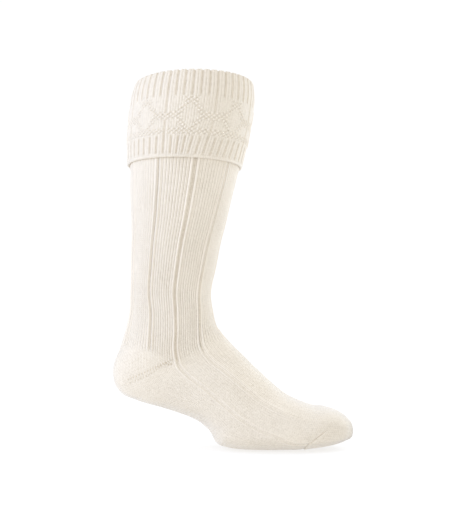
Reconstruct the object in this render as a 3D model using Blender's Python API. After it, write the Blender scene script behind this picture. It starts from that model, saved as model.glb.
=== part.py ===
"""A knee-length kilt hose sock with a turned-down cuff, in the shape that a leg on tiptoe gives it.

Metres, +Z up, toes towards +X. The origin is the centre of the leg opening, level with the top of the fold.
The knitting is one tube, worked out from sections of the leg and foot. Each piece is a patch of that tube.
A place on the tube is a station, its distance down the middle of the tube, and a stitch share, its place
around the tube: 0 at the middle of the back, 0.25 at the right side (-Y), 0.5 at the middle of the front.
"""

import math

import bmesh
import bpy
import numpy as np

# Leg
LEG_LENGTH = 0.248  # fold of the cuff down to the narrowest part of the ankle
CALF_DEPTH = 0.1370  # front to back, over the leg's wall, at the opening
CALF_WIDTH = 0.1270
ANKLE_DEPTH = 0.0906
ANKLE_WIDTH = 0.0720
LEG_LEAN = 0.0267  # the opening's centre stands this far forward of the ankle's
LEG_WALL = 0.0026

# Foot
FOOT_LENGTH = 0.271  # back of the heel to the tip of the toe, level, as the foot stands on its ball
ANKLE_HEIGHT = 0.170  # narrowest part of the ankle above the sole of the ball
HEEL_WIDTH = 0.070
BALL_WIDTH = 0.092
FOOT_WALL = 0.0028

# Turned-down cuff
CUFF_DEPTH = 0.098  # fold to lower edge
TOP_RIB_DEPTH = 0.033
LOWER_RIB_DEPTH = 0.0245
WELT_DEPTH = 0.0024  # the smooth cast-on edge below the lower rib
CUFF_WALL = 0.0030
CUFF_SLACK = 0.0006  # between the leg's wall and the cuff turned down over it
LINING_DEPTH = 0.014  # how far the fold's knitting goes down inside, to the leg's upper edge

# Knitting
LEG_PANELS = 9  # flat panels round the leg, with one sunk purl column between each two
GROOVE_WIDTH = 0.0034
GROOVE_DEPTH = 0.0012
CUFF_RIBS = 48
RIB_DEPTH = 0.0013
CUFF_MOTIFS = 8  # lozenges round the cuff's lattice band
LOZENGE_RAISE = 0.0006
PIECE_GAP = 0.0003  # left where two pieces meet
HEEL_CORNER = 0.0040  # how tall the heel pocket is at its two corners

CREAM = (0.86, 0.80, 0.68, 1.0)

LEG_COLUMNS = ("place", "drop", "taper", "lean", "tilt")
# drop is a share of LEG_LENGTH. taper runs from the ankle's size, 0, to the opening's, 1. lean is a share of LEG_LEAN.
# tilt is how much higher the front stands than the back, as a share of the depth there.
LEG_ROWS = (
    ("fold", 0.000, 1.000, 1.000, 0.018),
    ("under top rib", 0.118, 1.000, 0.890, 0.008),
    ("calf", 0.226, 0.955, 0.770, -0.004),
    ("under lower rib", 0.355, 0.800, 0.620, -0.014),
    ("below cuff", 0.462, 0.645, 0.515, -0.010),
    ("upper shin", 0.557, 0.515, 0.412, 0.000),
    ("mid shin", 0.653, 0.365, 0.327, 0.000),
    ("lower shin", 0.743, 0.240, 0.226, 0.000),
    ("above ankle", 0.861, 0.118, 0.108, 0.000),
    ("ankle", 1.000, 0.000, 0.000, 0.000),
)

FOOT_COLUMNS = (
    "place", "sole_x", "sole_z", "top_x", "top_z", "width_of", "width", "waist", "top_power", "sole_power",
    "sole_edge", "heel_groove", "instep_groove",
)
# x is a share of FOOT_LENGTH forward of the ankle, z a share of ANKLE_HEIGHT below it. sole is the section's point
# on the heel or sole and top its point on the shin or instep. waist is where the section is widest, from sole to top.
# The powers square off its two halves, 2 being an ellipse. sole_edge is the share of the way round at which the
# plain sole meets the ribbed instep. heel_groove, a share of that, is where the groove behind it runs, and
# instep_groove is how far the next groove in front lies from there to the middle of the top.
FOOT_ROWS = (
    ("ankle bone", -0.170, 0.100, 0.176, 0.094, "ankle", 1.00, 0.50, 2.0, 2.0, 0.2785, 0.62, 0.48),
    ("heel top", -0.208, 0.335, 0.192, 0.200, "ankle", 1.05, 0.50, 2.0, 2.0, 0.2880, 0.66, 0.44),
    ("heel back", -0.236, 0.459, 0.207, 0.230, "heel", 1.06, 0.50, 2.0, 2.0, 0.2900, 0.68, 0.43),
    ("heel round", -0.230, 0.574, 0.223, 0.262, "heel", 1.02, 0.50, 2.0, 2.1, 0.2850, 0.66, 0.42),
    ("heel under", -0.197, 0.643, 0.241, 0.290, "heel", 1.00, 0.50, 2.0, 2.2, 0.2740, 0.60, 0.42),
    ("heel front", -0.141, 0.682, 0.262, 0.324, "heel", 1.01, 0.48, 2.0, 2.3, 0.2630, 0.60, 0.41),
    ("arch", 0.006, 0.750, 0.307, 0.394, "ball", 0.815, 0.46, 2.0, 2.4, 0.2410, 0.60, 0.40),
    ("instep", 0.128, 0.829, 0.362, 0.481, "ball", 0.870, 0.44, 2.0, 2.5, 0.2260, 0.60, 0.40),
    ("ball back", 0.169, 0.890, 0.396, 0.532, "ball", 0.905, 0.43, 2.0, 2.5, 0.2300, 0.60, 0.40),
    ("ball step", 0.196, 0.962, 0.431, 0.582, "ball", 0.940, 0.42, 2.0, 2.6, 0.2440, 0.60, 0.40),
    ("ball", 0.242, 0.985, 0.466, 0.626, "ball", 0.970, 0.41, 2.1, 2.7, 0.2420, 0.60, 0.40),
    ("toe joints", 0.394, 1.000, 0.549, 0.694, "ball", 1.000, 0.40, 2.1, 2.7, 0.2150, 0.60, 0.40),
    ("toe root", 0.475, 1.000, 0.601, 0.720, "ball", 0.978, 0.40, 2.1, 2.5, 0.1900, 0.60, 0.42),
)
TOE_TIP = (0.765, 0.895)  # shares as x and z above
TOE_STEPS = 6  # sections from the toe root to the tip, on quarter ellipses
SECTION_FIELDS = (
    "sole_x", "sole_z", "top_x", "top_z", "half_width", "waist", "top_power", "sole_power",
    "sole_edge", "heel_groove", "instep_groove",
)
WIDTHS = {"ankle": ANKLE_WIDTH, "heel": HEEL_WIDTH, "ball": BALL_WIDTH}
LEG_SOLE_EDGE = 0.5 - 2 / LEG_PANELS  # the heel starts at the second groove from the front
LEG_HEEL_GROOVE = (0.5 - 3 / LEG_PANELS) / LEG_SOLE_EDGE


def leg_sections():
    """One section for each row of the leg's table: level, an ellipse."""
    for row in LEG_ROWS:
        share = dict(zip(LEG_COLUMNS, row))
        depth = ANKLE_DEPTH + share["taper"] * (CALF_DEPTH - ANKLE_DEPTH)
        width = ANKLE_WIDTH + share["taper"] * (CALF_WIDTH - ANKLE_WIDTH)
        centre = -LEG_LEAN * (1 - share["lean"])
        height = -LEG_LENGTH * share["drop"]
        rise = share["tilt"] * depth / 2
        back, front = (centre - depth / 2, height - rise), (centre + depth / 2, height + rise)
        yield (*back, *front, width / 2, 0.5, 2.0, 2.0, LEG_SOLE_EDGE, LEG_HEEL_GROOVE, 0.5)


def foot_sections():
    """One section for each row of the foot's table. They fan round the ankle from level to nearly upright."""
    for row in FOOT_ROWS:
        share = dict(zip(FOOT_COLUMNS, row))
        points = (
            -LEG_LEAN + share["sole_x"] * FOOT_LENGTH,
            -LEG_LENGTH - share["sole_z"] * ANKLE_HEIGHT,
            -LEG_LEAN + share["top_x"] * FOOT_LENGTH,
            -LEG_LENGTH - share["top_z"] * ANKLE_HEIGHT,
        )
        half_width = share["width"] * WIDTHS[share["width_of"]] / 2
        yield (*points, half_width, *(share[field] for field in SECTION_FIELDS[5:]))


def toe_sections(root):
    """Sections that close the toe: the sole's and the instep's points and the width follow quarter ellipses."""
    tip_x = -LEG_LEAN + TOE_TIP[0] * FOOT_LENGTH
    tip_z = -LEG_LENGTH - TOE_TIP[1] * ANKLE_HEIGHT
    sole_x, sole_z, top_x, top_z, half_width, *shape = root
    for step in range(1, TOE_STEPS + 1):
        turn = math.pi / 2 * step / TOE_STEPS
        along, across = math.sin(turn), math.cos(turn)
        sole = sole_x + (tip_x - sole_x) * along, tip_z + (sole_z - tip_z) * across
        top = top_x + (tip_x - top_x) * along, tip_z + (top_z - tip_z) * across
        yield (*sole, *top, half_width * across, *shape)


SECTIONS = [*leg_sections(), *foot_sections()]
SECTIONS += toe_sections(SECTIONS[-1])
SECTIONS = np.array(SECTIONS)
MIDDLES = (SECTIONS[:, 0:2] + SECTIONS[:, 2:4]) / 2
STATIONS = np.concatenate([[0.0], np.cumsum(np.linalg.norm(np.diff(MIDDLES, axis=0), axis=1))])
PLACES = [row[0] for row in LEG_ROWS + FOOT_ROWS]


def station_of(place, onward=0.0):
    """The station of a named row, moved this share of the way towards the next row."""
    index = PLACES.index(place)
    return STATIONS[index] + onward * (STATIONS[index + 1] - STATIONS[index])


def section_at(station):
    """The section's values at a station: a cubic between rows, whose slope at a row is its neighbours' chord."""
    index = min(max(int(np.searchsorted(STATIONS, station)) - 1, 0), len(STATIONS) - 2)
    span = STATIONS[index + 1] - STATIONS[index]
    t = (station - STATIONS[index]) / span
    slopes = np.gradient(SECTIONS, STATIONS, axis=0)
    values = (
        (2 * t**3 - 3 * t**2 + 1) * SECTIONS[index]
        + (t**3 - 2 * t**2 + t) * span * slopes[index]
        + (3 * t**2 - 2 * t**3) * SECTIONS[index + 1]
        + (t**3 - t**2) * span * slopes[index + 1]
    )
    return dict(zip(SECTION_FIELDS, values))


def half_ring(section, steps=120):
    """Points down one side of a section, from the middle of its sole or back to the middle of its top or front."""
    sole = np.array([section["sole_x"], 0.0, section["sole_z"]])
    top = np.array([section["top_x"], 0.0, section["top_z"]])
    waist = sole + section["waist"] * (top - sole)
    turn = np.linspace(-math.pi / 2, math.pi / 2, steps + 1)
    upper = turn >= 0
    power = np.where(upper, section["top_power"], section["sole_power"])
    reach = np.abs(np.sin(turn)) ** (2 / power)
    spread = np.abs(np.cos(turn)) ** (2 / power) * section["half_width"]
    arm = np.where(upper[:, None], top - waist, sole - waist)
    points = waist + arm * reach[:, None]
    points[:, 1] = -spread
    return points


def tube_point(station, stitch):
    """The outer face of the tube at a station and a stitch share. Stitches are evenly spaced along the leg's
    section. On the foot the ribbed instep and the plain sole each have their own even spacing."""
    section = section_at(station)
    edge = section["sole_edge"]
    even = [0.0, LEG_HEEL_GROOVE * LEG_SOLE_EDGE, LEG_SOLE_EDGE, (LEG_SOLE_EDGE + 0.5) / 2, 0.5]
    here = [0.0, section["heel_groove"] * edge, edge, edge + section["instep_groove"] * (0.5 - edge), 0.5]
    share = np.interp(abs((stitch + 0.5) % 1.0 - 0.5), even, here)
    ring = half_ring(section)
    length = np.concatenate([[0.0], np.cumsum(np.linalg.norm(np.diff(ring, axis=0), axis=1))])
    point = np.array([np.interp(2 * share * length[-1], length, ring[:, axis]) for axis in range(3)])
    if (stitch + 0.5) % 1.0 < 0.5:
        point[1] = -point[1]
    return point


def tube_frame(station, stitch):
    """The tube's point and its outward direction there, from steps of half a millimetre down and round."""
    step, turn = 0.0005, 0.002
    down = tube_point(station + step, stitch) - tube_point(max(station - step, 0.0), stitch)
    round_ = tube_point(station, stitch + turn) - tube_point(station, stitch - turn)
    outward = np.cross(down, round_)
    return tube_point(station, stitch), outward / np.linalg.norm(outward)


def groove_depth(stitch, first, last):
    """How deep the knitting is sunk at this stitch: full in a purl column between the two limits, else nothing."""
    around = abs((stitch + 0.5) % 1.0 - 0.5)
    from_groove = abs((around - 0.5) * LEG_PANELS - round((around - 0.5) * LEG_PANELS)) / LEG_PANELS
    return GROOVE_DEPTH if from_groove < 1e-6 and first <= around <= last else 0.0


def stitch_lines(half_groove):
    """The stitch shares of a piece's columns: both edges and the middle of each groove, and two on each panel."""
    lines = []
    for panel in range(LEG_PANELS):
        middle = 0.5 + panel / LEG_PANELS
        for offset in (-half_groove, 0.0, half_groove, 1 / 3 / LEG_PANELS, 2 / 3 / LEG_PANELS):
            lines.append((middle + offset + 0.5) % 1.0 - 0.5)
    return sorted(lines)


LEG_GIRTH = math.pi * (ANKLE_DEPTH + ANKLE_WIDTH) / 2
HALF_GROOVE = GROOVE_WIDTH / 2 / LEG_GIRTH
GAP_SHARE = PIECE_GAP / LEG_GIRTH
HEEL_EDGE = LEG_SOLE_EDGE - HALF_GROOVE  # the heel pocket ends at the back of that groove
HEEL_STATION = station_of("heel round", 0.75)  # of the pocket's corners, and of its gore lines
HEEL_TOP = station_of("heel top")
HEEL_END = station_of("heel front", 0.75)
UPPER_CURVE, LOWER_CURVE = 2.2, 2.2  # how squarely the pocket's two edges leave its corners
TOE_START = station_of("toe root", 0.9)  # where the toe cap starts under the sole
TOE_SLANT = 0.025  # and how much nearer the tip on top


def heel_opening(stitch):
    """How open the heel pocket is, 0 at its corners and 1 at the middle of the back, above and below."""
    share = min(abs(stitch) / HEEL_EDGE, 1.0)
    return 1 - share**UPPER_CURVE, 1 - share**LOWER_CURVE


def leg_end(stitch):
    """The leg's last course: level over the instep, and up round the back above the heel pocket."""
    corner = HEEL_STATION - HEEL_CORNER / 2
    return corner - (corner - HEEL_TOP) * heel_opening(stitch)[0]


def foot_start(stitch):
    """The foot's first course: with the leg over the instep, and round under the heel pocket."""
    if abs(stitch) > HEEL_EDGE - 1e-9:
        return HEEL_STATION - HEEL_CORNER / 2
    corner = HEEL_STATION + HEEL_CORNER / 2
    return corner + (HEEL_END - corner) * heel_opening(stitch)[1]


def toe_start(stitch):
    """The toe cap's first course: straight under the sole, and slanting towards the tip up the sides."""
    up = max(abs((stitch + 0.5) % 1.0 - 0.5) - LEG_SOLE_EDGE, 0.0) / (0.5 - LEG_SOLE_EDGE)
    return TOE_START + TOE_SLANT * math.sin(math.pi / 2 * up)


def new_material(name, roughness):
    material = bpy.data.materials.new(name)
    material.use_nodes = True
    shader = material.node_tree.nodes["Principled BSDF"]
    shader.inputs["Base Color"].default_value = CREAM
    shader.inputs["Roughness"].default_value = roughness
    shader.inputs["Metallic"].default_value = 0.0
    return material


def new_object(name, points, faces, roughness):
    """A named object of these points and faces in the hose's collection, with its faces turned outwards."""
    mesh = bpy.data.meshes.new(name)
    mesh.from_pydata([tuple(p) for p in points], [], faces)
    work = bmesh.new()
    work.from_mesh(mesh)
    bmesh.ops.remove_doubles(work, verts=work.verts, dist=1e-6)
    bmesh.ops.recalc_face_normals(work, faces=work.faces)
    work.to_mesh(mesh)
    work.free()
    mesh.shade_smooth()
    mesh.materials.append(new_material(name, roughness))
    obj = bpy.data.objects.new(name, mesh)
    hose.objects.link(obj)
    return obj


def grid_faces(rows, columns, closed_columns, closed_rows=False):
    """Four-sided faces of a grid of points, row after row, which may close on itself either way."""
    faces = []
    for row in range(rows if closed_rows else rows - 1):
        for column in range(columns if closed_columns else columns - 1):
            below, beside = (row + 1) % rows, (column + 1) % columns
            faces.append(
                (row * columns + column, row * columns + beside, below * columns + beside, below * columns + column)
            )
    return faces


def wall_faces(rows, columns, closed, open_end=True):
    """Faces of a wall given as an outer grid of points and then an inner one, joined along their open edges."""
    outer = grid_faces(rows, columns, closed)
    inner = rows * columns
    faces = outer + [tuple(inner + corner for corner in face) for face in outer]
    edges = [[row * columns + column for column in range(columns)] for row in (0, rows - 1)[: 1 + open_end]]
    if closed:
        edges = [[*edge, edge[0]] for edge in edges]
    else:
        edges += [[row * columns + column for row in range(rows)] for column in (0, columns - 1)]
    for edge in edges:
        faces += [(a, b, inner + b, inner + a) for a, b in zip(edge, edge[1:])]
    return faces


def knitted_patch(name, stitches, start, end, shares, grooves, wall, closed=True, tip=None):
    """A patch of the tube between two edges given as stations for each stitch, with its wall on the inside. Its
    rows lie at these shares of the way between them. With a tip, the patch closes there."""
    outer, inner = [], []
    for share in shares:
        for stitch in stitches:
            station = start(stitch) + share * (end(stitch) - start(stitch))
            point, outward = tube_frame(station, stitch)
            sunk = groove_depth(stitch, *grooves)
            outer.append(point - outward * sunk)
            inner.append(point - outward * wall)
    if tip is not None:
        outer += [tip] * len(stitches)
        inner += [tip - np.array([wall, 0.0, 0.0])] * len(stitches)
    rows = len(shares) + (tip is not None)
    return new_object(name, outer + inner, wall_faces(rows, len(stitches), closed, tip is None), 0.95)


def even(count):
    return [step / (count - 1) for step in range(count)]


def leg():
    """The panelled tube from the fold's lining down to the heel pocket and over the ankle."""
    top = LINING_DEPTH + PIECE_GAP / 2
    knitted_patch(
        "leg",
        stitch_lines(HALF_GROOVE),
        lambda stitch: top,
        lambda stitch: leg_end(stitch) - PIECE_GAP / 2,
        even(13),
        (0.0, 0.5),
        LEG_WALL,
    )


def heel():
    """The plain pocket round the back of the heel, between its two corners."""
    limit = HEEL_EDGE - GAP_SHARE * 2
    inner = [stitch for stitch in stitch_lines(HALF_GROOVE) if abs(stitch) < limit - 0.004]
    knitted_patch(
        "heel",
        [-limit, *inner, limit],
        lambda stitch: leg_end(stitch) + PIECE_GAP / 2,
        lambda stitch: foot_start(stitch * (1 - 1e-6)) - PIECE_GAP / 2,
        even(8),
        (1.0, 1.0),
        FOOT_WALL,
        closed=False,
    )


def foot():
    """The tube from the heel to the toe, panelled over the instep and plain under the sole."""
    lines = stitch_lines(HALF_GROOVE)
    beside = HEEL_EDGE - GAP_SHARE
    stitches = sorted([*lines, -beside, beside])
    knitted_patch(
        "foot",
        stitches,
        lambda stitch: foot_start(stitch) + PIECE_GAP / 2,
        lambda stitch: toe_start(stitch) - PIECE_GAP / 2,
        even(11),
        (LEG_SOLE_EDGE - 0.01, 0.5),
        FOOT_WALL,
    )


def toe():
    """The plain cap over the toes, closed at its tip."""
    rounding = [math.sin(math.pi / 2 * step / 6) for step in range(6)]
    knitted_patch(
        "toe",
        [line for line in stitch_lines(HALF_GROOVE) if line],
        lambda stitch: toe_start(stitch) + PIECE_GAP / 2,
        lambda stitch: STATIONS[-1],
        rounding,
        (1.0, 1.0),
        FOOT_WALL,
        tip=np.array([SECTIONS[-1][0], 0.0, SECTIONS[-1][1]]),
    )


RIB_COLUMNS = 2 * CUFF_RIBS  # one column of points on each rib and one in each groove
OUTER = CUFF_SLACK + CUFF_WALL
FOLD_RADIUS = (OUTER + LEG_WALL) / 2
FOLD_MIDDLE = (OUTER - LEG_WALL) / 2
LATTICE_END = CUFF_DEPTH - LOWER_RIB_DEPTH


def rib_height(column):
    """0 on a rib, and sunk in the grooves between ribs."""
    return 0.0 if column % 2 else -RIB_DEPTH


def lozenge_height(column, share):
    """The lattice band's face: half-way up the ribs, sunk along each motif's edge, raised in its lozenge."""
    across = (column * CUFF_MOTIFS / RIB_COLUMNS + 0.5) % 1.0 - 0.5
    if abs(abs(across) - 0.5) < 1e-6 and abs(share - 0.5) > 0.1:
        return -RIB_DEPTH
    inside = 1 - abs(across) / 0.34 - abs(share - 0.5) / 0.48
    return LOZENGE_RAISE * min(max(2 * inside, 0.0), 1.0) - RIB_DEPTH / 2


def cuff_ring(name, profile, columns=RIB_COLUMNS, height=None):
    """A closed profile carried round the leg. Each of its points is (distance out from the leg's outer face,
    station, shows). On a point that shows, height gives the relief from its column and its station."""
    points = []
    for out, station, shows in profile:
        for column in range(columns):
            relief = height(column, station) if shows and height else 0.0
            point, outward = tube_frame(station, column / columns)
            points.append(point + outward * (out + relief))
    faces = grid_faces(len(profile), columns, True, closed_rows=True)
    return new_object(name, points, faces, 0.95)


def cuff_fold():
    """The fold and the ribbed band below it: outside, over the top and down inside to the leg's upper edge."""
    arc = [math.pi * step / 5 for step in range(6)]
    over = [
        (FOLD_MIDDLE + FOLD_RADIUS * math.cos(turn), FOLD_RADIUS * (1 - math.sin(turn)), turn < 3)
        for turn in arc
    ]
    end, inner_end = TOP_RIB_DEPTH - PIECE_GAP / 2, LINING_DEPTH - PIECE_GAP / 2
    profile = [
        (OUTER, end, True),
        *over,
        (-LEG_WALL, inner_end, False),
        (0.0, inner_end, False),
        (0.0, FOLD_RADIUS * 1.1, False),
        (CUFF_SLACK, FOLD_RADIUS * 1.1, False),
        (CUFF_SLACK, end, False),
    ]
    cuff_ring("cuff_fold", profile, height=lambda column, station: rib_height(column))


def cuff_band(name, start, end, rows, **relief):
    """A band of the cuff's outer layer between two stations, with its relief outside and a smooth face inside."""
    stations = [end + (start - end) * step / (rows - 1) for step in range(rows)]
    profile = [(OUTER, station, True) for station in stations]
    profile += [(CUFF_SLACK, start, False), (CUFF_SLACK, end, False)]
    return cuff_ring(name, profile, **relief)


def cuff_lattice():
    """The band of lozenges between the two ribbed bands."""
    start, end = TOP_RIB_DEPTH + PIECE_GAP / 2, LATTICE_END - PIECE_GAP / 2
    cuff_band(
        "cuff_lattice",
        start,
        end,
        9,
        height=lambda column, station: lozenge_height(column, (station - start) / (end - start)),
    )


def cuff_lower_rib():
    """The lower ribbed band."""
    start, end = LATTICE_END + PIECE_GAP / 2, CUFF_DEPTH - WELT_DEPTH - PIECE_GAP / 2
    cuff_band("cuff_lower_rib", start, end, 2, height=lambda column, station: rib_height(column))


def cuff_welt():
    """The smooth cast-on edge that finishes the cuff."""
    cuff_band("cuff_welt", CUFF_DEPTH - WELT_DEPTH + PIECE_GAP / 2, CUFF_DEPTH, 2, columns=CUFF_RIBS)


for leftover in list(bpy.data.objects):
    bpy.data.objects.remove(leftover)
hose = bpy.data.collections.new("kilt_hose")
bpy.context.scene.collection.children.link(hose)
leg()
heel()
foot()
toe()
cuff_fold()
cuff_lattice()
cuff_lower_rib()
cuff_welt()
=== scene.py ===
# %% [markdown]
# A kilt hose sock is a long knitted wool sock for wear below a kilt. It comes up to the knee, and its top is
# turned down over the leg as a thick cuff with a pattern of lozenges. Here it is filled out as a leg on tiptoe
# fills it, and stands by itself.
#
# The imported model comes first. It holds the sock's exact size as eight plain solids, and each knitted piece below
# replaces one of them. Every piece is worked out on one tube, so the knitting runs on from piece to piece.

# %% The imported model
import math

import bpy
import numpy as np
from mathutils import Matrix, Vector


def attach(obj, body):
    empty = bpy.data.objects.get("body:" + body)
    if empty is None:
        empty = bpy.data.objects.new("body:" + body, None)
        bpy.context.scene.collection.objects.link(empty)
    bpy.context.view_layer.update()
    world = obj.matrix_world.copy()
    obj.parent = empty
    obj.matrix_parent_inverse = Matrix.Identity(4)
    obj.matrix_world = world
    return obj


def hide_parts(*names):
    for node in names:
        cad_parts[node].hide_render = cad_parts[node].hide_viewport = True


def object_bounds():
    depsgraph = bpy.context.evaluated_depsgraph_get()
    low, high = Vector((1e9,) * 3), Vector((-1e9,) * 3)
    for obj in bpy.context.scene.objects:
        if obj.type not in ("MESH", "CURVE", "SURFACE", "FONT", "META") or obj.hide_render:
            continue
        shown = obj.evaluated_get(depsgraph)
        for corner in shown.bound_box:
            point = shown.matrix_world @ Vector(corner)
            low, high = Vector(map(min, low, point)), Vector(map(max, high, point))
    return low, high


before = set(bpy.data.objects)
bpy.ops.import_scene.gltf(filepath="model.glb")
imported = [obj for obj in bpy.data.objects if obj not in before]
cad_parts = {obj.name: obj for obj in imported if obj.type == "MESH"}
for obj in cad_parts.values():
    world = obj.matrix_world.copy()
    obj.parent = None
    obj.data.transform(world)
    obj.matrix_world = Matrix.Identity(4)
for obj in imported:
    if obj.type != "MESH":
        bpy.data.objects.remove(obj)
cad_box = [list(corner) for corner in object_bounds()]
floor_height = cad_box[0][2]
print("solids:", sorted(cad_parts))
print("floor at", round(floor_height, 4), "m")

# %% [markdown]
# The tube is a row of sections down the leg and foot. On the leg they are level ellipses. Below the ankle they fan
# round the instep from level to nearly upright, and their sole halves get flatter. Each section has the point on
# its sole or back, the point on its top or front, its half width and its shape. A cubic curve through the rows
# gives the sections between them.

# %% Sizes, in metres
LEG_LENGTH, CALF_DEPTH, CALF_WIDTH = 0.248, 0.1370, 0.1270
ANKLE_DEPTH, ANKLE_WIDTH, LEG_LEAN = 0.0906, 0.0720, 0.0267
FOOT_LENGTH, ANKLE_HEIGHT, HEEL_WIDTH, BALL_WIDTH = 0.271, 0.170, 0.070, 0.092
LEG_WALL, FOOT_WALL, CUFF_WALL, CUFF_SLACK = 0.0026, 0.0028, 0.0030, 0.0006
CUFF_DEPTH, TOP_RIB_DEPTH, LOWER_RIB_DEPTH, WELT_DEPTH = 0.098, 0.033, 0.0245, 0.0024
LINING_DEPTH, HEEL_CORNER, GROOVE_WIDTH = 0.014, 0.0040, 0.0034
PANELS, CUFF_RIBS, CUFF_MOTIFS = 9, 48, 8

# Shares of the leg's length, its taper, its lean and its depth: drop, taper, lean, tilt.
LEG_ROWS = np.array(
    [
        (0.000, 1.000, 1.000, 0.018),
        (0.118, 1.000, 0.890, 0.008),
        (0.226, 0.955, 0.770, -0.004),
        (0.355, 0.800, 0.620, -0.014),
        (0.462, 0.645, 0.515, -0.010),
        (0.557, 0.515, 0.412, 0.000),
        (0.653, 0.365, 0.327, 0.000),
        (0.743, 0.240, 0.226, 0.000),
        (0.861, 0.118, 0.108, 0.000),
        (1.000, 0.000, 0.000, 0.000),
    ]
)
# Shares of the foot's length and the ankle's height for the sole's point and the top's, then the half width in
# metres, the waist, the two powers, and the places of the sole edge and of two grooves.
ANKLE, HEEL, BALL = ANKLE_WIDTH / 2, HEEL_WIDTH / 2, BALL_WIDTH / 2
FOOT_ROWS = np.array(
    [
        (-0.170, 0.100, 0.176, 0.094, ANKLE * 1.00, 0.50, 2.0, 2.0, 0.2785, 0.62, 0.48),
        (-0.208, 0.335, 0.192, 0.200, ANKLE * 1.05, 0.50, 2.0, 2.0, 0.2880, 0.66, 0.44),
        (-0.236, 0.459, 0.207, 0.230, HEEL * 1.06, 0.50, 2.0, 2.0, 0.2900, 0.68, 0.43),
        (-0.230, 0.574, 0.223, 0.262, HEEL * 1.02, 0.50, 2.0, 2.1, 0.2850, 0.66, 0.42),
        (-0.197, 0.643, 0.241, 0.290, HEEL * 1.00, 0.50, 2.0, 2.2, 0.2740, 0.60, 0.42),
        (-0.141, 0.682, 0.262, 0.324, HEEL * 1.01, 0.48, 2.0, 2.3, 0.2630, 0.60, 0.41),
        (0.006, 0.750, 0.307, 0.394, BALL * 0.815, 0.46, 2.0, 2.4, 0.2410, 0.60, 0.40),
        (0.128, 0.829, 0.362, 0.481, BALL * 0.870, 0.44, 2.0, 2.5, 0.2260, 0.60, 0.40),
        (0.169, 0.890, 0.396, 0.532, BALL * 0.905, 0.43, 2.0, 2.5, 0.2300, 0.60, 0.40),
        (0.196, 0.962, 0.431, 0.582, BALL * 0.940, 0.42, 2.0, 2.6, 0.2440, 0.60, 0.40),
        (0.242, 0.985, 0.466, 0.626, BALL * 0.970, 0.41, 2.1, 2.7, 0.2420, 0.60, 0.40),
        (0.394, 1.000, 0.549, 0.694, BALL * 1.000, 0.40, 2.1, 2.7, 0.2150, 0.60, 0.40),
        (0.475, 1.000, 0.601, 0.720, BALL * 0.978, 0.40, 2.1, 2.5, 0.1900, 0.60, 0.42),
    ]
)
TOE_TIP, TOE_STEPS = (0.765, 0.895), 6
SOLE_EDGE = 0.5 - 2 / PANELS
HEEL_GROOVE = (0.5 - 3 / PANELS) / SOLE_EDGE


# %% The sections
def leg_sections():
    """Depth and width run from the ankle's to the calf's by the taper. The centre leans, and the front tilts up."""
    drop, taper, lean, tilt = LEG_ROWS.T
    depth = ANKLE_DEPTH + taper * (CALF_DEPTH - ANKLE_DEPTH)
    width = ANKLE_WIDTH + taper * (CALF_WIDTH - ANKLE_WIDTH)
    centre, height, rise = -LEG_LEAN * (1 - lean), -LEG_LENGTH * drop, tilt * depth / 2
    ends = [centre - depth / 2, height - rise, centre + depth / 2, height + rise, width / 2]
    shape = [np.full(len(drop), value) for value in (0.5, 2.0, 2.0, SOLE_EDGE, HEEL_GROOVE, 0.5)]
    return np.array(ends + shape).T


def foot_sections():
    """The table's shares, laid out forward of and below the ankle."""
    rows = FOOT_ROWS.copy()
    rows[:, [0, 2]] = rows[:, [0, 2]] * FOOT_LENGTH - LEG_LEAN
    rows[:, [1, 3]] = -LEG_LENGTH - rows[:, [1, 3]] * ANKLE_HEIGHT
    return rows


def toe_sections(root):
    """From the last row to the tip: heights and width fall as a cosine while the points run out as a sine."""
    turn = np.linspace(0, math.pi / 2, TOE_STEPS + 1)[1:]
    tip_x, tip_z = TOE_TIP[0] * FOOT_LENGTH - LEG_LEAN, -LEG_LENGTH - TOE_TIP[1] * ANKLE_HEIGHT
    rows = np.tile(root, (TOE_STEPS, 1))
    rows[:, [0, 2]] += (tip_x - rows[:, [0, 2]]) * np.sin(turn)[:, None]
    rows[:, [1, 3]] = tip_z + (rows[:, [1, 3]] - tip_z) * np.cos(turn)[:, None]
    rows[:, 4] *= np.cos(turn)
    return rows


SECTIONS = np.vstack([leg_sections(), foot_sections()])
SECTIONS = np.vstack([SECTIONS, toe_sections(SECTIONS[-1])])
MIDDLES = (SECTIONS[:, 0:2] + SECTIONS[:, 2:4]) / 2
STATIONS = np.concatenate([[0.0], np.cumsum(np.linalg.norm(np.diff(MIDDLES, axis=0), axis=1))])
SLOPES = np.gradient(SECTIONS, STATIONS, axis=0)
print(len(SECTIONS), "sections over", round(STATIONS[-1], 4), "m")


def section_at(station):
    """A cubic between the rows on either side, whose slope at a row is its neighbours' chord."""
    row = np.clip(np.searchsorted(STATIONS, station) - 1, 0, len(STATIONS) - 2)
    span = STATIONS[row + 1] - STATIONS[row]
    t = (station - STATIONS[row]) / span
    t, span = t[..., None], span[..., None]
    return (
        (2 * t**3 - 3 * t**2 + 1) * SECTIONS[row]
        + (t**3 - 2 * t**2 + t) * span * SLOPES[row]
        + (3 * t**2 - 2 * t**3) * SECTIONS[row + 1]
        + (t**3 - t**2) * span * SLOPES[row + 1]
    )


# %% [markdown]
# A section is drawn by an angle, from its sole or back to its top or front, but stitches are evenly spaced along it.
# So each section is measured once at many angles, and a table gives the angle for each share of its length. A point
# of the tube then needs only its station, the distance down the tube, and its stitch share, the place around it.


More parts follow.
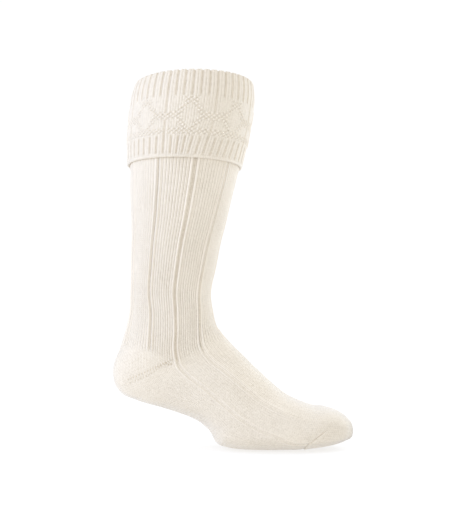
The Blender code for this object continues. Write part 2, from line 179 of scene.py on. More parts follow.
# %% The tube
def ring_point(section, turn):
    """Half a superellipse: each half's reach is sin to the power 2/p, and its spread is cos to that power."""
    sole_x, sole_z, top_x, top_z, half_width, waist, top_power, sole_power = np.moveaxis(section, -1, 0)[:8]
    upper = turn >= 0
    power = np.where(upper, top_power, sole_power)
    reach = np.abs(np.sin(turn)) ** (2 / power)
    spread = np.abs(np.cos(turn)) ** (2 / power) * half_width
    waist_x, waist_z = sole_x + waist * (top_x - sole_x), sole_z + waist * (top_z - sole_z)
    x = waist_x + np.where(upper, top_x - waist_x, sole_x - waist_x) * reach
    z = waist_z + np.where(upper, top_z - waist_z, sole_z - waist_z) * reach
    return np.stack([x, -spread, z], axis=-1)


TABLE_STATIONS = np.linspace(0, STATIONS[-1] - 1e-5, 560)
TABLE_SHARES = np.linspace(0, 1, 401)


def angle_table():
    """The angle at each share of a half section's length, for every station of the table."""
    turn = np.linspace(-math.pi / 2, math.pi / 2, 1201)
    points = ring_point(section_at(TABLE_STATIONS)[:, None, :], turn[None, :])
    length = np.linalg.norm(np.diff(points, axis=1), axis=2).cumsum(axis=1)
    length = np.hstack([np.zeros((len(length), 1)), length / length[:, -1:]])
    row = np.arange(len(length))[:, None] * 2
    found = np.interp((row + TABLE_SHARES).ravel(), (row + length).ravel(), np.tile(turn, len(length)))
    return found.reshape(len(length), len(TABLE_SHARES))


ANGLES = angle_table()


def around_of(stitch):
    """A stitch share's distance from the middle of the back, 0 to 0.5, on either side."""
    return np.abs((stitch + 0.5) % 1.0 - 0.5)


FOLD_REACH, FOLD_NARROWING, FOLD_DROP = 0.026, 0.050, 0.0012


def settled(station, section, point):
    """The fold sits a little lower and narrower than the calf below it, by the square of the distance left."""
    pull = np.clip(1 - station / FOLD_REACH, 0, 1) ** 2
    middle = (section[..., 0] + section[..., 2]) / 2
    point[..., 0] -= FOLD_NARROWING * pull * (point[..., 0] - middle)
    point[..., 1] *= 1 - FOLD_NARROWING * pull
    point[..., 2] -= FOLD_DROP * pull
    return point


def tube(station, stitch):
    """The tube's points. The stitch share is moved to the section's own grooves, then turned into an angle."""
    section = section_at(station)
    edge, behind, before = section[..., 8], section[..., 9], section[..., 10]
    around = around_of(stitch)
    knots = [np.zeros_like(edge), behind * edge, edge, edge + before * (0.5 - edge), np.full_like(edge, 0.5)]
    even = [0.0, HEEL_GROOVE * SOLE_EDGE, SOLE_EDGE, (SOLE_EDGE + 0.5) / 2, 0.5]
    share = np.zeros_like(station + around)
    for low, high, here, there in zip(even, even[1:], knots, knots[1:]):
        inside = (around >= low) & (around <= high)
        share = np.where(inside, here + (around - low) / (high - low) * (there - here), share)
    row = np.clip(station / TABLE_STATIONS[-1] * (len(TABLE_STATIONS) - 1), 0, len(TABLE_STATIONS) - 1.001)
    column = np.clip(2 * share * (len(TABLE_SHARES) - 1), 0, len(TABLE_SHARES) - 1.001)
    i, j = row.astype(int), column.astype(int)
    a, b = row - i, column - j
    turn = (1 - a) * ((1 - b) * ANGLES[i, j] + b * ANGLES[i, j + 1]) + a * (
        (1 - b) * ANGLES[i + 1, j] + b * ANGLES[i + 1, j + 1]
    )
    point = ring_point(section, turn)
    point[..., 1] *= np.where((stitch + 0.5) % 1.0 < 0.5, -1, 1)
    return settled(station, section, point)


# %% [markdown]
# A knitted piece is a patch of the tube between two edges. Its outer face is a fine grid, raised and sunk by the
# relief of its stitches, and its inner face is a coarser one at the depth of the wall. Rims join the two, so each
# piece is one closed body. The patch's UV map counts stitches across and courses down, and the wool's material
# draws single stitches by it.

# %% Patches
COURSE = 0.0024
PANEL_STITCHES = 11
ROUND = PANELS * PANEL_STITCHES
print("stitches round the leg:", ROUND)


def bell(x, width):
    """1 at nought, falling off on both sides as e to the minus square of x over the width."""
    return np.exp(-((x / width) ** 2))


def ramp(x, low, high):
    """0 up to low and 1 from high, with a smooth step between them. high may be the lower of the two."""
    t = np.clip((x - low) / (high - low), 0, 1)
    return t * t * (3 - 2 * t)


def facing(station, stitch):
    """Unit vectors down the tube and out of it, from short steps along it and round it."""
    step = 0.0004
    down = tube(station + step, stitch) - tube(np.maximum(station - step, 0), stitch)
    down /= np.maximum(np.linalg.norm(down, axis=-1, keepdims=True), 1e-12)
    outward = np.cross(down, tube(station, stitch + step) - tube(station, stitch - step))
    return down, outward / np.maximum(np.linalg.norm(outward, axis=-1, keepdims=True), 1e-12)


def grid_quads(rows, columns, closed, first=0):
    """Corner numbers of a grid's four-sided faces, and each corner's row and column, not wrapped."""
    r, c = np.meshgrid(np.arange(rows - 1), np.arange(columns if closed else columns - 1), indexing="ij")
    r, c = r.ravel(), c.ravel()
    corner_rows = np.stack([r, r, r + 1, r + 1], axis=1)
    corner_columns = np.stack([c, c + 1, c + 1, c], axis=1)
    return first + corner_rows * columns + corner_columns % columns, corner_rows, corner_columns


def strip(edge, other):
    """Faces between two rows of corner numbers of the same length."""
    return np.stack([edge[:-1], edge[1:], other[1:], other[:-1]], axis=1)


def sharp_edges(mesh, zones, sizes):
    """True for each edge whose faces lie in more than one zone: there the shading breaks."""
    edges = np.empty(len(mesh.loops), np.int32)
    mesh.loops.foreach_get("edge_index", edges)
    zone = np.repeat(zones, sizes)
    seen = sum(np.bincount(edges[zone == z], minlength=len(mesh.edges)) > 0 for z in range(zones.max() + 1))
    return seen > 1


def new_mesh(name, points, polygons, zones, uv, painted_shading):
    """A mesh from whole arrays. polygons is a list of arrays of faces with the same number of corners each."""
    mesh = bpy.data.meshes.new(name)
    loops = np.concatenate([block.ravel() for block in polygons]).astype(np.int32)
    sizes = np.concatenate([np.full(len(block), block.shape[1]) for block in polygons]).astype(np.int32)
    mesh.vertices.add(len(points))
    mesh.vertices.foreach_set("co", points.astype(np.float32).ravel())
    mesh.loops.add(len(loops))
    mesh.loops.foreach_set("vertex_index", loops)
    mesh.polygons.add(len(sizes))
    mesh.polygons.foreach_set("loop_start", np.concatenate([[0], np.cumsum(sizes)[:-1]]).astype(np.int32))
    mesh.polygons.foreach_set("loop_total", sizes)
    mesh.update(calc_edges=True)
    mesh.uv_layers.new(name="stitches").data.foreach_set("uv", uv.astype(np.float32).ravel())
    mesh.polygons.foreach_set("use_smooth", np.ones(len(sizes), bool))
    # The depth attribute by which the material paints shade in hollows and a highlight where the wool stands up.
    mesh.attributes.new("painted_shading", "FLOAT", "POINT").data.foreach_set("value", painted_shading.astype(np.float32).ravel())
    sharp = sharp_edges(mesh, zones, sizes)
    mesh.attributes.new("sharp_edge", "BOOLEAN", "EDGE").data.foreach_set("value", sharp)
    obj = bpy.data.objects.new(name, mesh)
    bpy.context.scene.collection.objects.link(obj)
    triangles = int((sizes - 2).sum())
    print(f"{name}: {triangles} triangles")
    return obj


def painted_shading_of(height):
    """How far a point lies below the stitches, 1 at two millimetres; the material paints shade by it. A point that
    stands up is below nought, and there the material paints a highlight.
    """
    return np.clip((0.0003 - height) / 0.002, -0.5, 1)


def leg_turned(stitch, station):
    """Where a column lies round the tube: the knitting is pulled round the calf, and less towards the ankle."""
    return stitch + 0.013 * ramp(station, 0.225, 0.120)


def patch(name, stitch, start, end, rows, wall, relief, closed=True, tip=None, inner_step=12):
    """The piece whose outer face is the tube plus its relief, and whose inner face is the tube less its wall."""
    share = np.linspace(0, 1, rows) if tip is None else np.sin(np.linspace(0, math.pi / 2, rows + 1))[:-1]
    station = start[None, :] + share[:, None] * (end - start)[None, :]
    around = np.broadcast_to(stitch, station.shape)
    place = leg_turned(around, station)
    base, (_, outward) = tube(station, place), facing(station, place)
    height = relief(stitch[None, :], station)
    outer = base + outward * height[..., None]
    kept = np.unique(np.concatenate([np.arange(0, rows, inner_step), [rows - 1]]))
    inner = base[kept] - outward[kept] * wall
    course = station / COURSE
    if tip is not None:
        outer = np.concatenate([outer, np.broadcast_to(tip, (1, len(stitch), 3))])
        inner = np.concatenate([inner, np.broadcast_to(tip - np.array([wall, 0, 0]), (1, len(stitch), 3))])
        course = np.vstack([course, course[-1:] + 1])
        height = np.vstack([height, height[-1:]])
    columns = len(stitch)
    points = np.concatenate([outer.reshape(-1, 3), inner.reshape(-1, 3)])
    # Painted shade and highlight by depth on the outer face; none on the inner one.
    painted_shading = np.concatenate([painted_shading_of(height).ravel(), np.zeros(inner.shape[0] * columns)])
    faces, corner_rows, corner_columns = grid_quads(len(outer), columns, closed)
    first = len(outer) * columns
    inside, _, _ = grid_quads(len(inner), columns, closed, first)
    edge = np.append(np.arange(columns), 0) if closed else np.arange(columns)
    rims = [strip(first + edge, edge)]
    if tip is None:
        rims.append(strip((len(outer) - 1) * columns + edge, first + (len(inner) - 1) * columns + edge))
    polygons = [faces, inside[:, ::-1], *rims]
    if not closed:
        left_out, left_in = np.arange(len(outer)) * columns, first + np.arange(len(inner)) * columns
        polygons.append(np.concatenate([left_out, left_in[::-1]])[None, :])
        polygons.append(np.concatenate([left_in + columns - 1, (left_out + columns - 1)[::-1]])[None, :])
    zones = np.concatenate([np.full(len(block), min(index, 2)) for index, block in enumerate(polygons)])
    across = np.append(stitch, stitch[0] + 1) if closed else stitch
    uv = np.stack([across[corner_columns] * ROUND, course[corner_rows, corner_columns % columns]], axis=-1)
    corners_left = sum(block.size for block in polygons) - faces.size
    uv = np.concatenate([uv.reshape(-1, 2), np.full((corners_left, 2), 0.5)])
    return new_mesh(name, points, polygons, zones, uv, painted_shading)


# %% [markdown]
# Plain knitting is a row of wales, each a rounded ridge. On the leg every eleventh wale is a purl one, which sinks
# between its neighbours, and the wales beside it stand up. The heel is a plain pocket, and where its rows turn they
# leave two lines of small holes on either side of the foot, which open where they meet the leg. Below the ankle the
# instep keeps its sunk columns, which grow shallow towards the toe, and the sole is plain. All this is one function
# of the stitch and the station, so the surface runs on where one piece ends and the next begins.

# %% Where the leg, heel, foot and toe meet
HALF_GROOVE = GROOVE_WIDTH / 2 / (math.pi * (ANKLE_DEPTH + ANKLE_WIDTH) / 2)
HEEL_EDGE = SOLE_EDGE - HALF_GROOVE
HEEL_TOP, HEEL_STATION = STATIONS[11], STATIONS[13] + 0.75 * (STATIONS[14] - STATIONS[13])
HEEL_END = STATIONS[15] + 0.75 * (STATIONS[16] - STATIONS[15])
HEEL_CURVE = 2.2
TOE_START = STATIONS[22] + 0.9 * (STATIONS[23] - STATIONS[22])
TOE_SLANT = 0.025
print("heel corner at", round(HEEL_STATION, 4), "m, toe cap from", round(TOE_START, 4), "m down the tube")


def heel_opening(stitch):
    """1 at the middle of the back, falling to 0 at the pocket's corners as a power of the way round."""
    return 1 - np.minimum(around_of(stitch) / HEEL_EDGE, 1.0) ** HEEL_CURVE


def leg_end(stitch):
    corner = HEEL_STATION - HEEL_CORNER / 2
    return corner - (corner - HEEL_TOP) * heel_opening(stitch)


def foot_start(stitch):
    corner = HEEL_STATION + HEEL_CORNER / 2
    below = corner + (HEEL_END - corner) * heel_opening(stitch)
    return np.where(around_of(stitch) > HEEL_EDGE - 1e-9, HEEL_STATION - HEEL_CORNER / 2, below)


def toe_start(stitch):
    """Straight under the sole, then forward as a sine up the sides."""
    up = np.maximum(around_of(stitch) - SOLE_EDGE, 0) / (0.5 - SOLE_EDGE)
    return TOE_START + TOE_SLANT * np.sin(math.pi / 2 * up)


# %% Relief of the leg, heel, foot and toe
WALE_RISE, GROOVE_DEPTH, BESIDE_RISE, THIN_GROOVE = 0.00090, 0.0014, 0.0010, 0.68


def wales(u):
    """A rounded ridge for each stitch, 1 - |2f - 1|^3 of its share f, with a crease down its middle."""
    f = u % 1.0
    return 1 - np.abs(2 * f - 1) ** 3 - 0.18 * bell(f - 0.5, 0.12)


def unevenness(stitch, station):
    """Slow waves in the surface, where the knitting sits loosely: a few sines whose phases differ."""
    a, b = 2 * math.pi * stitch, 2 * math.pi * station / 0.11
    return 0.00011 * (np.sin(3 * a + b) + np.sin(5 * a - 1.7 * b + 1) + 0.6 * np.sin(8 * a + 2.6 * b + 2))


def pitch_at(station):
    """Width of a stitch: the section's girth, taken as an ellipse's, over the number of stitches."""
    section = section_at(station)
    depth = np.hypot(section[..., 2] - section[..., 0], section[..., 3] - section[..., 1])
    return math.pi / 2 * (depth + 2 * section[..., 4]) / ROUND


def groove_lines(stitch, station):
    """Sunk purl wales at the middle of the front and every ninth of the way round, and the wales beside them.

    On the foot only the instep's lines and the two that edge the sole go on, as a pair of ridges with a shallow
    crease between them. The columns at the middle of each side are wider, most of all at the calf.
    """
    from_front = (0.5 - around_of(stitch)) * PANELS
    number = np.round(from_front)
    distance = np.abs(from_front - number) * PANEL_STITCHES * pitch_at(station)
    on_foot = ramp(station, HEEL_STATION - 0.008, HEEL_STATION + 0.008)
    instep = ramp(station, 0.505, 0.430)
    edge = ramp(station, TOE_START + 0.012, TOE_START - 0.004)
    front_depth = 1 - on_foot * (1 - 0.14 * instep)
    front_rise = 1 - on_foot * (1 - 0.45 * instep)
    side_depth = 1 - on_foot * (1 - 0.16 * edge)
    side_rise = 1 - on_foot * (1 - 0.60 * edge)
    back = ramp(station, leg_end(stitch) - 0.001, leg_end(stitch) - 0.004)
    depth = np.select([number <= 1.5, number <= 2.5], [front_depth, side_depth], back)
    rise = np.select([number <= 1.5, number <= 2.5], [front_rise, side_rise], back)
    width = np.where(number == 2, 1.0 + 0.45 * ramp(station, 0.20, 0.10), THIN_GROOVE)
    sunk = ramp(distance, 0.0018 * width, 0.0005 * width)
    return BESIDE_RISE * rise * bell(distance - 0.0011 - 0.0018 * width, 0.0012) - GROOVE_DEPTH * depth * sunk


HOLE_WIDTH, ROW_HOLE, CORNER_HOLE, HEEL_GIRTH = 0.0011, 0.0006, 0.0013, 0.255
CORNER_HOLES = ((0.234, -0.0058), (0.243, -0.0034), (0.254, -0.0024))


def heel_holes(stitch, station):
    """Two rows of holes with a bump between each and the next, and three larger holes where they meet the leg."""
    side = around_of(stitch)
    wave = np.cos(2 * math.pi * side * ROUND)
    bend = 0.004 * ramp(side, 0.165, 0.235)
    upper = station - (HEEL_STATION - 0.0062) + bend * 0.2
    lower = station - (HEEL_STATION - 0.0025) + bend * 0.8
    length = ramp(side, 0.070, 0.095) * ramp(side, HEEL_EDGE, HEEL_EDGE - 0.008)
    rows = bell(lower, HOLE_WIDTH) * (wave - 0.45) - bell(upper, HOLE_WIDTH) * (wave + 0.45)
    corner = 0.0
    for place, far in CORNER_HOLES:
        away = np.hypot((side - place) * HEEL_GIRTH, station - HEEL_STATION - far)
        corner = corner - CORNER_HOLE * bell(away, HOLE_WIDTH)
    return length * (ROW_HOLE * rows + corner)


def toe_line(stitch, station):
    """The ridge where the toe cap starts, with a crease behind it. It fades up the sides of the foot."""
    from_line = station - toe_start(stitch)
    strength = ramp(around_of(stitch), 0.375, 0.315)
    return strength * (0.0005 * bell(from_line - 0.0022, 0.0014) - 0.0010 * bell(from_line, 0.0009))


def below_cuff(station):
    """The leg swells a little at the cuff's edge, by the square of what is left of four millimetres."""
    return 0.0005 * np.clip(1 - np.abs(station - CUFF_DEPTH - 0.001) / 0.004, 0, 1) ** 2


def sock_relief(stitch, station):
    """Height of the stitches above the tube, on the leg, the heel, the foot and the toe. Under the cuff it is 0."""
    plain = 0.36 + 0.64 * ramp(station, leg_end(stitch) + 0.002, leg_end(stitch) - 0.006)
    to_tip = ramp(station, STATIONS[-1], STATIONS[-1] - 0.03)
    free = ramp(station, CUFF_DEPTH - 0.010, CUFF_DEPTH - 0.002)
    height = WALE_RISE * plain * (wales(stitch * ROUND) - 0.6) + groove_lines(stitch, station)
    height = height + heel_holes(stitch, station) + toe_line(stitch, station) + below_cuff(station)
    return free * to_tip * (height + unevenness(stitch, station))


# %% The leg, heel, foot and toe
PER_STITCH = 6
round_columns = np.arange(ROUND * PER_STITCH) / (ROUND * PER_STITCH)
heel_limit = HEEL_EDGE - 1e-5
heel_columns = np.linspace(-heel_limit, heel_limit, 325)
foot_columns = np.unique(np.concatenate([round_columns, [heel_limit, HEEL_EDGE, 1 - HEEL_EDGE, 1 - heel_limit]]))
leg_top = np.full(len(round_columns), LINING_DEPTH)
toe_end = np.full(len(round_columns), STATIONS[-1] - 1e-5)
toe_tip = np.array([SECTIONS[-1][0], 0.0, SECTIONS[-1][1]])

patch("knitted_leg", round_columns, leg_top, leg_end(round_columns), 148, LEG_WALL, sock_relief)
patch(
    "knitted_heel",
    heel_columns,
    leg_end(heel_columns),
    foot_start(heel_columns),
    150,
    FOOT_WALL,
    sock_relief,
    closed=False,
)
patch("knitted_foot", foot_columns, foot_start(foot_columns), toe_start(foot_columns), 150, FOOT_WALL, sock_relief)
patch("knitted_toe", round_columns, toe_start(round_columns), toe_end, 60, FOOT_WALL, sock_relief, tip=toe_tip)

# %% [markdown]
# The cuff is the top of the tube, turned down over the leg. It is drawn as a profile carried round the leg: down the
# outside, over the fold and down inside. Its ribs are two knit wales and a sunk purl one, and they run over the fold.

# %% The cuff's surface
OUTER = CUFF_SLACK + CUFF_WALL
FOLD_RADIUS, FOLD_MIDDLE = (OUTER + LEG_WALL) / 2, (OUTER - LEG_WALL) / 2
RIB_STITCHES, RIB_COLUMNS = 3, 20
RIB_DEPTH, DIVIDE = 0.0014, 0.80
CUFF_ROUND = CUFF_RIBS * RIB_STITCHES
print("stitches round the cuff:", CUFF_ROUND)
cuff_columns = np.arange(CUFF_RIBS * RIB_COLUMNS) / (CUFF_RIBS * RIB_COLUMNS)
LATTICE_END = CUFF_DEPTH - LOWER_RIB_DEPTH
RIB_END = CUFF_DEPTH - WELT_DEPTH


def rib_groove(from_middle):
    """1 along a purl wale and 0 from its edge, at 0.56 of a stitch, where the knit wale beside it rises steeply."""
    return ramp(np.abs(from_middle), 0.56, 0.16)


def cuff_wales(stitch):
    """The knit wales of the cuff. A stitch's middle lies at each whole number of stitches."""
    return wales(stitch * CUFF_ROUND + 0.5)


CUFF_TURN, CUFF_LEAN, LEAN_START = 0.009, 0.016, 0.058


def turned(stitch, station):
    """Where the cuff's columns lie round the leg: pulled round a little, and leaning in the cuff's lower half."""
    below = np.clip((station - LEAN_START) / (CUFF_DEPTH - LEAN_START), 0, None)
    lean = ramp(around_of(stitch), 0.20, 0.28) * ramp(around_of(stitch), 0.49, 0.37)
    return stitch + CUFF_TURN - CUFF_LEAN * lean * below


def rib_relief(stitch, strength=1.0, divide=1.0):
    """Two wales and a sunk purl one per rib. divide is the strength of the sunk wales between the eight panels."""
    across = stitch * CUFF_ROUND
    from_groove = (across / RIB_STITCHES - np.round(across / RIB_STITCHES)) * RIB_STITCHES
    panel = stitch * CUFF_MOTIFS + 0.5
    is_divide = np.abs(panel - np.round(panel)) * CUFF_ROUND / CUFF_MOTIFS < 1.0
    depth = np.where(is_divide, divide, strength)
    return 0.00062 * (cuff_wales(stitch) - 0.5) - RIB_DEPTH * depth * rib_groove(from_groove)


def cuff_piece(name, profile, zones, relief, shown):
    """A closed profile of (distance out, station) carried round the leg, its shown rows raised by the relief.

    The relief follows the profile's own outward side. The profile runs up the outside, so that side is its
    direction turned a quarter. Only its first rows, as many as shown says, are seen and have a relief. zones
    numbers the profile's sides, and the shading breaks between them.
    """
    out, station = np.array(profile).T
    raised = np.arange(len(out)) < shown
    along_out, along_down = np.zeros(len(out)), np.ones(len(out))
    along_out[:shown], along_down[:shown] = np.gradient(out[:shown]), np.gradient(station[:shown])
    norm = np.hypot(along_out, along_down)
    normal_out, normal_down = -along_down / norm, along_out / norm
    course = np.concatenate([[0], np.cumsum(np.hypot(np.diff(out), np.diff(station)))]) / COURSE
    grid = np.broadcast_to(station[:, None], (len(station), len(cuff_columns)))
    stitch = np.broadcast_to(cuff_columns, grid.shape)
    place = turned(stitch, grid)
    down, outward = facing(grid, place)
    height = np.where(raised[:, None], relief(stitch, grid), 0.0)
    points = tube(grid, place) + outward * (out[:, None] + height * normal_out[:, None])[..., None]
    points = points + down * (height * normal_down[:, None])[..., None]
    rows, columns = grid.shape
    faces, corner_rows, corner_columns = grid_quads(rows + 1, columns, True)
    across = np.append(cuff_columns, 1.0) * CUFF_ROUND + 0.5
    course = np.append(course, course[-1] + 1)
    uv = np.stack([across[corner_columns], course[corner_rows]], axis=-1)
    # Painted shade and highlight by depth on the shown rows.
    painted_shading = np.where(raised[:, None], painted_shading_of(height), 0.0)
    faces, uv = (faces % (rows * columns))[:, ::-1], uv[:, ::-1].reshape(-1, 2)
    return new_mesh(name, points.reshape(-1, 3), [faces], np.repeat(zones, columns), uv, painted_shading)


def band(name, start, end, rows, relief):
    """A cuff piece between two stations: its outer face from the lower end up, then the corners of its inner one."""
    outside = [(OUTER, station) for station in np.linspace(end, start, rows)]
    zones = np.concatenate([np.zeros(rows - 1, int), [1, 2, 3]])
    inside = [(CUFF_SLACK, start), (CUFF_SLACK, end)]
    return cuff_piece(name, outside + inside, zones, relief, rows)


# %% The fold and its ribs
fold_outside = [(OUTER, station) for station in np.linspace(TOP_RIB_DEPTH, FOLD_RADIUS * 1.15, 28)]
over_fold = [
    (FOLD_MIDDLE + FOLD_RADIUS * math.cos(turn), FOLD_RADIUS * (1 - math.sin(turn)))
    for turn in np.linspace(0, math.pi, 16)
]
fold_inside = [(-LEG_WALL, station) for station in np.linspace(FOLD_RADIUS * 1.2, LINING_DEPTH, 6)]
fold_under = [
    (0.0, LINING_DEPTH),
    (0.0, FOLD_RADIUS * 1.1),
    (CUFF_SLACK, FOLD_RADIUS * 1.1),
    (CUFF_SLACK, TOP_RIB_DEPTH),
]
fold_profile = fold_outside + over_fold + fold_inside + fold_under
fold_rows = len(fold_profile) - len(fold_under)
fold_zones = np.concatenate([np.zeros(fold_rows - 1, int), [1, 2, 3, 1, 2]])


def fold_relief(stitch, station):
    """The ribs, whose purl wales rise to the plain band over their last two millimetres."""
    strength = ramp(station, TOP_RIB_DEPTH - 0.0004, TOP_RIB_DEPTH - 0.0030)
    return rib_relief(stitch, strength, DIVIDE + (1 - DIVIDE) * strength)


cuff_piece("ribbed_fold", fold_profile, fold_zones, fold_relief, fold_rows - 2)

# %% [markdown]
# The band below it is plain knitting with a lattice drawn on it in purl bumps: a lozenge in each of its eight
# panels, and a bar between one lozenge and the next. A sunk line divides the panels. The pattern is worked on a
# grid of stitches: in its lines each stitch is in turn a small cross-wise bump and a pit.

# %% The lozenge band
MOTIF_STITCHES = CUFF_ROUND // CUFF_MOTIFS
BAND_ROWS, DOT_HEIGHT = 18, 0.0009
HALF_LOZENGE, HALF_ROWS = 4.7, 9.0


def in_lines(column, row):
    """True for a stitch of the lozenge's outline, of the bar beside it or of the moss rows at the band's foot."""
    across, down = np.abs(column), np.abs(row)
    outline = np.abs(across / HALF_LOZENGE + down / HALF_ROWS - 1) < 0.24
    outline |= (across < 2.2) & (down > HALF_ROWS - 3.2)
    bar = (across > HALF_LOZENGE - 0.5) & (down < 1.6)
    moss = (row > HALF_ROWS - 2.6) & (row < HALF_ROWS) & (across > 2.5) & (across < 8.5)
    return outline | bar | moss


def lattice_relief(stitch, station):
    """Plain wales, with the pattern's bumps and pits, and the sunk wale between the panels on either side."""
    start, end = TOP_RIB_DEPTH, LATTICE_END
    across = ((stitch * CUFF_MOTIFS + 0.5) % 1.0 - 0.5) * MOTIF_STITCHES
    down = ((station - start) / (end - start) - 0.5) * BAND_ROWS
    column, row = np.round(across), np.floor(down) + 0.5
    dot = bell(across - column, 0.40) * bell(down - row, 0.40)
    sign = np.where((column + np.floor(down)) % 2 == 0, DOT_HEIGHT, -DOT_HEIGHT)
    pattern = np.where(in_lines(column, row), sign * dot, 0.0)
    divide = DIVIDE * ramp(np.abs(down), 1.6, 2.2)
    return rib_relief(stitch, 0.0, divide) + pattern


band("lozenge_band", TOP_RIB_DEPTH, LATTICE_END, 82, lattice_relief)

# %% [markdown]
# Below it come ribs again, and the cast-on edge closes the cuff: a narrow smooth cord into which the ribs run.


# %% The lower ribs and the cast-on edge
def lower_relief(stitch, station):
    """The ribs, whose purl wales start under the plain band and rise again to the cast-on edge."""
    strength = ramp(station, LATTICE_END + 0.0004, LATTICE_END + 0.0030)
    to_edge = ramp(station, RIB_END, RIB_END - 0.0025)
    return rib_relief(stitch, strength * to_edge, (DIVIDE + (1 - DIVIDE) * strength) * to_edge)


def edge_relief(stitch, station):
    """The cord's roundness is in its profile. The wales are faint on it."""
    return 0.0003 + 0.5 * rib_relief(stitch, 0.0, 0.0) + 0 * station


band("ribbed_band", LATTICE_END, RIB_END, 36, lower_relief)
edge_radius = CUFF_WALL / 2
edge_profile = [
    (CUFF_SLACK + edge_radius * (1 - math.cos(turn)), CUFF_DEPTH - edge_radius * (1 - math.sin(turn)))
    for turn in np.linspace(0, math.pi, 13)
]
edge_profile += [(OUTER, station) for station in np.linspace(CUFF_DEPTH - edge_radius - 0.0003, RIB_END, 4)]
edge_profile.append((CUFF_SLACK, RIB_END))
edge_zones = np.concatenate([np.zeros(len(edge_profile) - 2, int), [1, 2]])
cuff_piece("cast_on_edge", edge_profile, edge_zones, edge_relief, len(edge_profile) - 1)

# %% [markdown]
# The yarn is undyed wool: matt, cream, with a soft bloom of fibres at its edges, which sheen gives. Single stitches
# are drawn by the UV map. In each stitch two legs lean together as a V, so the height is a wave along the course
# count, shifted by the distance from the wale's middle. The gaps between the legs are painted a little darker, as
# painted shade. So are the sunk wales and the holes, by the depth that each piece's mesh keeps as an attribute: this
# is painted shade, because little light reaches the wool there. Where the wool stands up, the same attribute paints
# it a little lighter, a painted highlight.


# %% The wool
def math_node(tree, operation, first, second=None):
    """A Math node fed by sockets or numbers, and its result."""
    node = tree.nodes.new("ShaderNodeMath")
    node.operation = operation
    for socket, value in zip(node.inputs, (first, second)):
        if value is None:
            continue
        if isinstance(value, (int, float)):
            socket.default_value = value
        else:
            tree.links.new(value, socket)
    return node.outputs[0]


def stitch_height(tree, slant):
    """Height of the V-shaped stitches, 0 to 1: a ridge down each leg, cut across by a wave that leans with it. The
    wool's bump and its painted shade between the legs both follow it.
    """
    uv = tree.nodes.new("ShaderNodeUVMap")
    uv.uv_map = "stitches"
    split = tree.nodes.new("ShaderNodeSeparateXYZ")
    tree.links.new(uv.outputs[0], split.inputs[0])
    share = math_node(tree, "FRACT", split.outputs[0])
    from_middle = math_node(tree, "ABSOLUTE", math_node(tree, "SUBTRACT", share, 0.5))
    leg = math_node(tree, "SINE", math_node(tree, "MULTIPLY", from_middle, 2 * math.pi))
    leg = math_node(tree, "POWER", math_node(tree, "MAXIMUM", leg, 0.001), 0.6)
    lean = math_node(tree, "SUBTRACT", split.outputs[1], math_node(tree, "MULTIPLY", from_middle, slant))
    wave = math_node(tree, "SINE", math_node(tree, "MULTIPLY", math_node(tree, "FRACT", lean), math.pi))
    wave = math_node(tree, "ADD", math_node(tree, "MULTIPLY", wave, 0.6), 0.4)
    return math_node(tree, "MULTIPLY", leg, wave)


def noise(tree, place, scale, detail):
    node = tree.nodes.new("ShaderNodeTexNoise")
    node.inputs["Scale"].default_value = scale
    node.inputs["Detail"].default_value = detail
    tree.links.new(place, node.inputs["Vector"])
    return node.outputs[0]


def wool(name, slant=1.6):
    """Matt cream wool with stitches, slubs and a bloom of fibre, with painted shade in the hollows of the relief and
    between the stitches' legs, and a painted highlight where the relief stands up.
    """
    material = bpy.data.materials.new(name)
    material.use_nodes = True
    tree = material.node_tree
    shader = tree.nodes["Principled BSDF"]
    shader.inputs["Roughness"].default_value = 0.92
    shader.inputs["Specular IOR Level"].default_value = 0.15
    shader.inputs["Sheen Weight"].default_value = 0.8
    shader.inputs["Sheen Roughness"].default_value = 0.35
    shader.inputs["Sheen Tint"].default_value = (1.0, 1.0, 1.0, 1.0)
    height = stitch_height(tree, slant)
    place = tree.nodes.new("ShaderNodeTexCoord").outputs["Object"]
    fibre, slub = noise(tree, place, 1400.0, 3.0), noise(tree, place, 420.0, 3.0)
    attribute = tree.nodes.new("ShaderNodeAttribute")
    attribute.attribute_name = "painted_shading"
    # Painted shade between the stitches' legs: the stitch height darkens the colour in the gaps.
    tone = math_node(tree, "ADD", math_node(tree, "MULTIPLY", height, 0.7), 0.33)
    tone = math_node(tree, "ADD", tone, math_node(tree, "MULTIPLY", math_node(tree, "SUBTRACT", slub, 0.5), 0.9))
    # Painted shade in sunk wales and holes, and a painted highlight where the wool stands up, from the mesh's depth
    # attribute.
    tone = math_node(tree, "SUBTRACT", tone, math_node(tree, "MULTIPLY", attribute.outputs["Fac"], 0.42))
    # The ramp runs from the painted shade colour at its dark end to the cream of the wool.
    ramp_node = tree.nodes.new("ShaderNodeValToRGB")
    ramp_node.color_ramp.elements[0].position = 0.0
    ramp_node.color_ramp.elements[0].color = (0.58, 0.51, 0.40, 1.0)
    ramp_node.color_ramp.elements[1].position = 0.85
    ramp_node.color_ramp.elements[1].color = (0.862, 0.789, 0.679, 1.0)
    tree.links.new(tone, ramp_node.inputs[0])
    tree.links.new(ramp_node.outputs[0], shader.inputs["Base Color"])
    total = math_node(tree, "ADD", height, math_node(tree, "MULTIPLY", fibre, 0.35))
    relief = tree.nodes.new("ShaderNodeBump")
    relief.inputs["Distance"].default_value = 0.00035
    relief.inputs["Strength"].default_value = 0.8
    tree.links.new(total, relief.inputs["Height"])
    tree.links.new(relief.outputs[0], shader.inputs["Normal"])
    return material


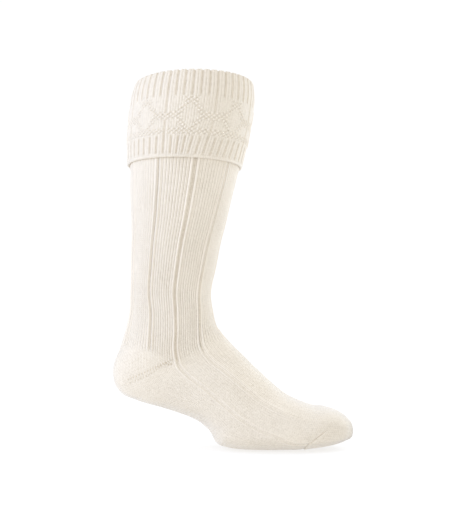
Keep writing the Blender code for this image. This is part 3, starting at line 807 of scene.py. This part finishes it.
cream_wool = wool("cream_wool")
PIECES = {
    "knitted_leg": "leg",
    "knitted_heel": "heel",
    "knitted_foot": "foot",
    "knitted_toe": "toe",
    "ribbed_fold": "cuff_fold",
    "lozenge_band": "cuff_lattice",
    "ribbed_band": "cuff_lower_rib",
    "cast_on_edge": "cuff_welt",
}
for piece_name, node in PIECES.items():
    piece = bpy.data.objects[piece_name]
    piece.data.materials.append(cream_wool)
    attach(piece, "root")
    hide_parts(node)
print("pieces:", len(PIECES))

# %% [markdown]
# A white floor and a bright white surround give the even light of a studio. Two large soft lamps light the left and
# the right edge a little more, and both are cool, so the edges look paler than the cream middle. The view transform
# is Standard, so white stays white.


# %% Floor, light and camera
def lit_floor(name):
    """A white floor lit through from below, as a light table is, so that shadows on it are faint."""
    material = bpy.data.materials.new(name)
    material.use_nodes = True
    shader = material.node_tree.nodes["Principled BSDF"]
    shader.inputs["Base Color"].default_value = (0.35, 0.35, 0.35, 1.0)
    shader.inputs["Roughness"].default_value = 0.8
    shader.inputs["Specular IOR Level"].default_value = 0.0
    shader.inputs["Emission Color"].default_value = (1.0, 1.0, 1.0, 1.0)
    shader.inputs["Emission Strength"].default_value = 0.67
    return material


floor_mesh = bpy.data.meshes.new("floor")
reach = 12.0
corners = [(x * reach, y * reach, floor_height) for x, y in ((-1, -1), (1, -1), (1, 1), (-1, 1))]
floor_mesh.from_pydata(corners, [], [(0, 1, 2, 3)])
floor = bpy.data.objects.new("floor", floor_mesh)
bpy.context.scene.collection.objects.link(floor)
floor_mesh.materials.append(lit_floor("white_floor"))

world = bpy.data.worlds.new("white_surround")
bpy.context.scene.world = world
world.use_nodes = True
world.node_tree.nodes["Background"].inputs["Color"].default_value = (1.0, 1.0, 1.0, 1.0)
world.node_tree.nodes["Background"].inputs["Strength"].default_value = 1.03


def soft_lamp(name, place, target, size, power, colour):
    """A square area lamp at a place, turned to face its target."""
    lamp = bpy.data.lights.new(name, "AREA")
    lamp.size = size
    lamp.color = colour
    lamp.energy = power
    obj = bpy.data.objects.new(name, lamp)
    direction = np.array(target) - np.array(place)
    yaw = math.atan2(direction[1], direction[0]) - math.pi / 2
    pitch = math.atan2(direction[2], math.hypot(direction[0], direction[1])) + math.pi / 2
    obj.location = place
    obj.rotation_euler = (pitch, 0.0, yaw)
    bpy.context.scene.collection.objects.link(obj)
    return obj


upper_leg = (0.0, 0.0, -0.12)
soft_lamp("left_lamp", (-1.15, -0.50, 0.25), upper_leg, 0.9, 8.5, (0.56, 0.68, 1.0))
soft_lamp("right_lamp", (1.10, 0.75, 0.20), upper_leg, 0.9, 10.5, (0.74, 0.85, 1.0))

camera_data = bpy.data.cameras.new("camera")
camera_data.lens = 54.58
camera = bpy.data.objects.new("camera", camera_data)
camera.location = (0.03575, -0.9, -0.279)
camera.rotation_euler = (math.radians(90 + 4.738), 0.0, 0.0)
bpy.context.scene.collection.objects.link(camera)
bpy.context.scene.camera = camera
bpy.context.scene.view_settings.view_transform = "Standard"
print("camera lens:", camera_data.lens, "mm")

# %% The end
bpy.context.view_layer.update()
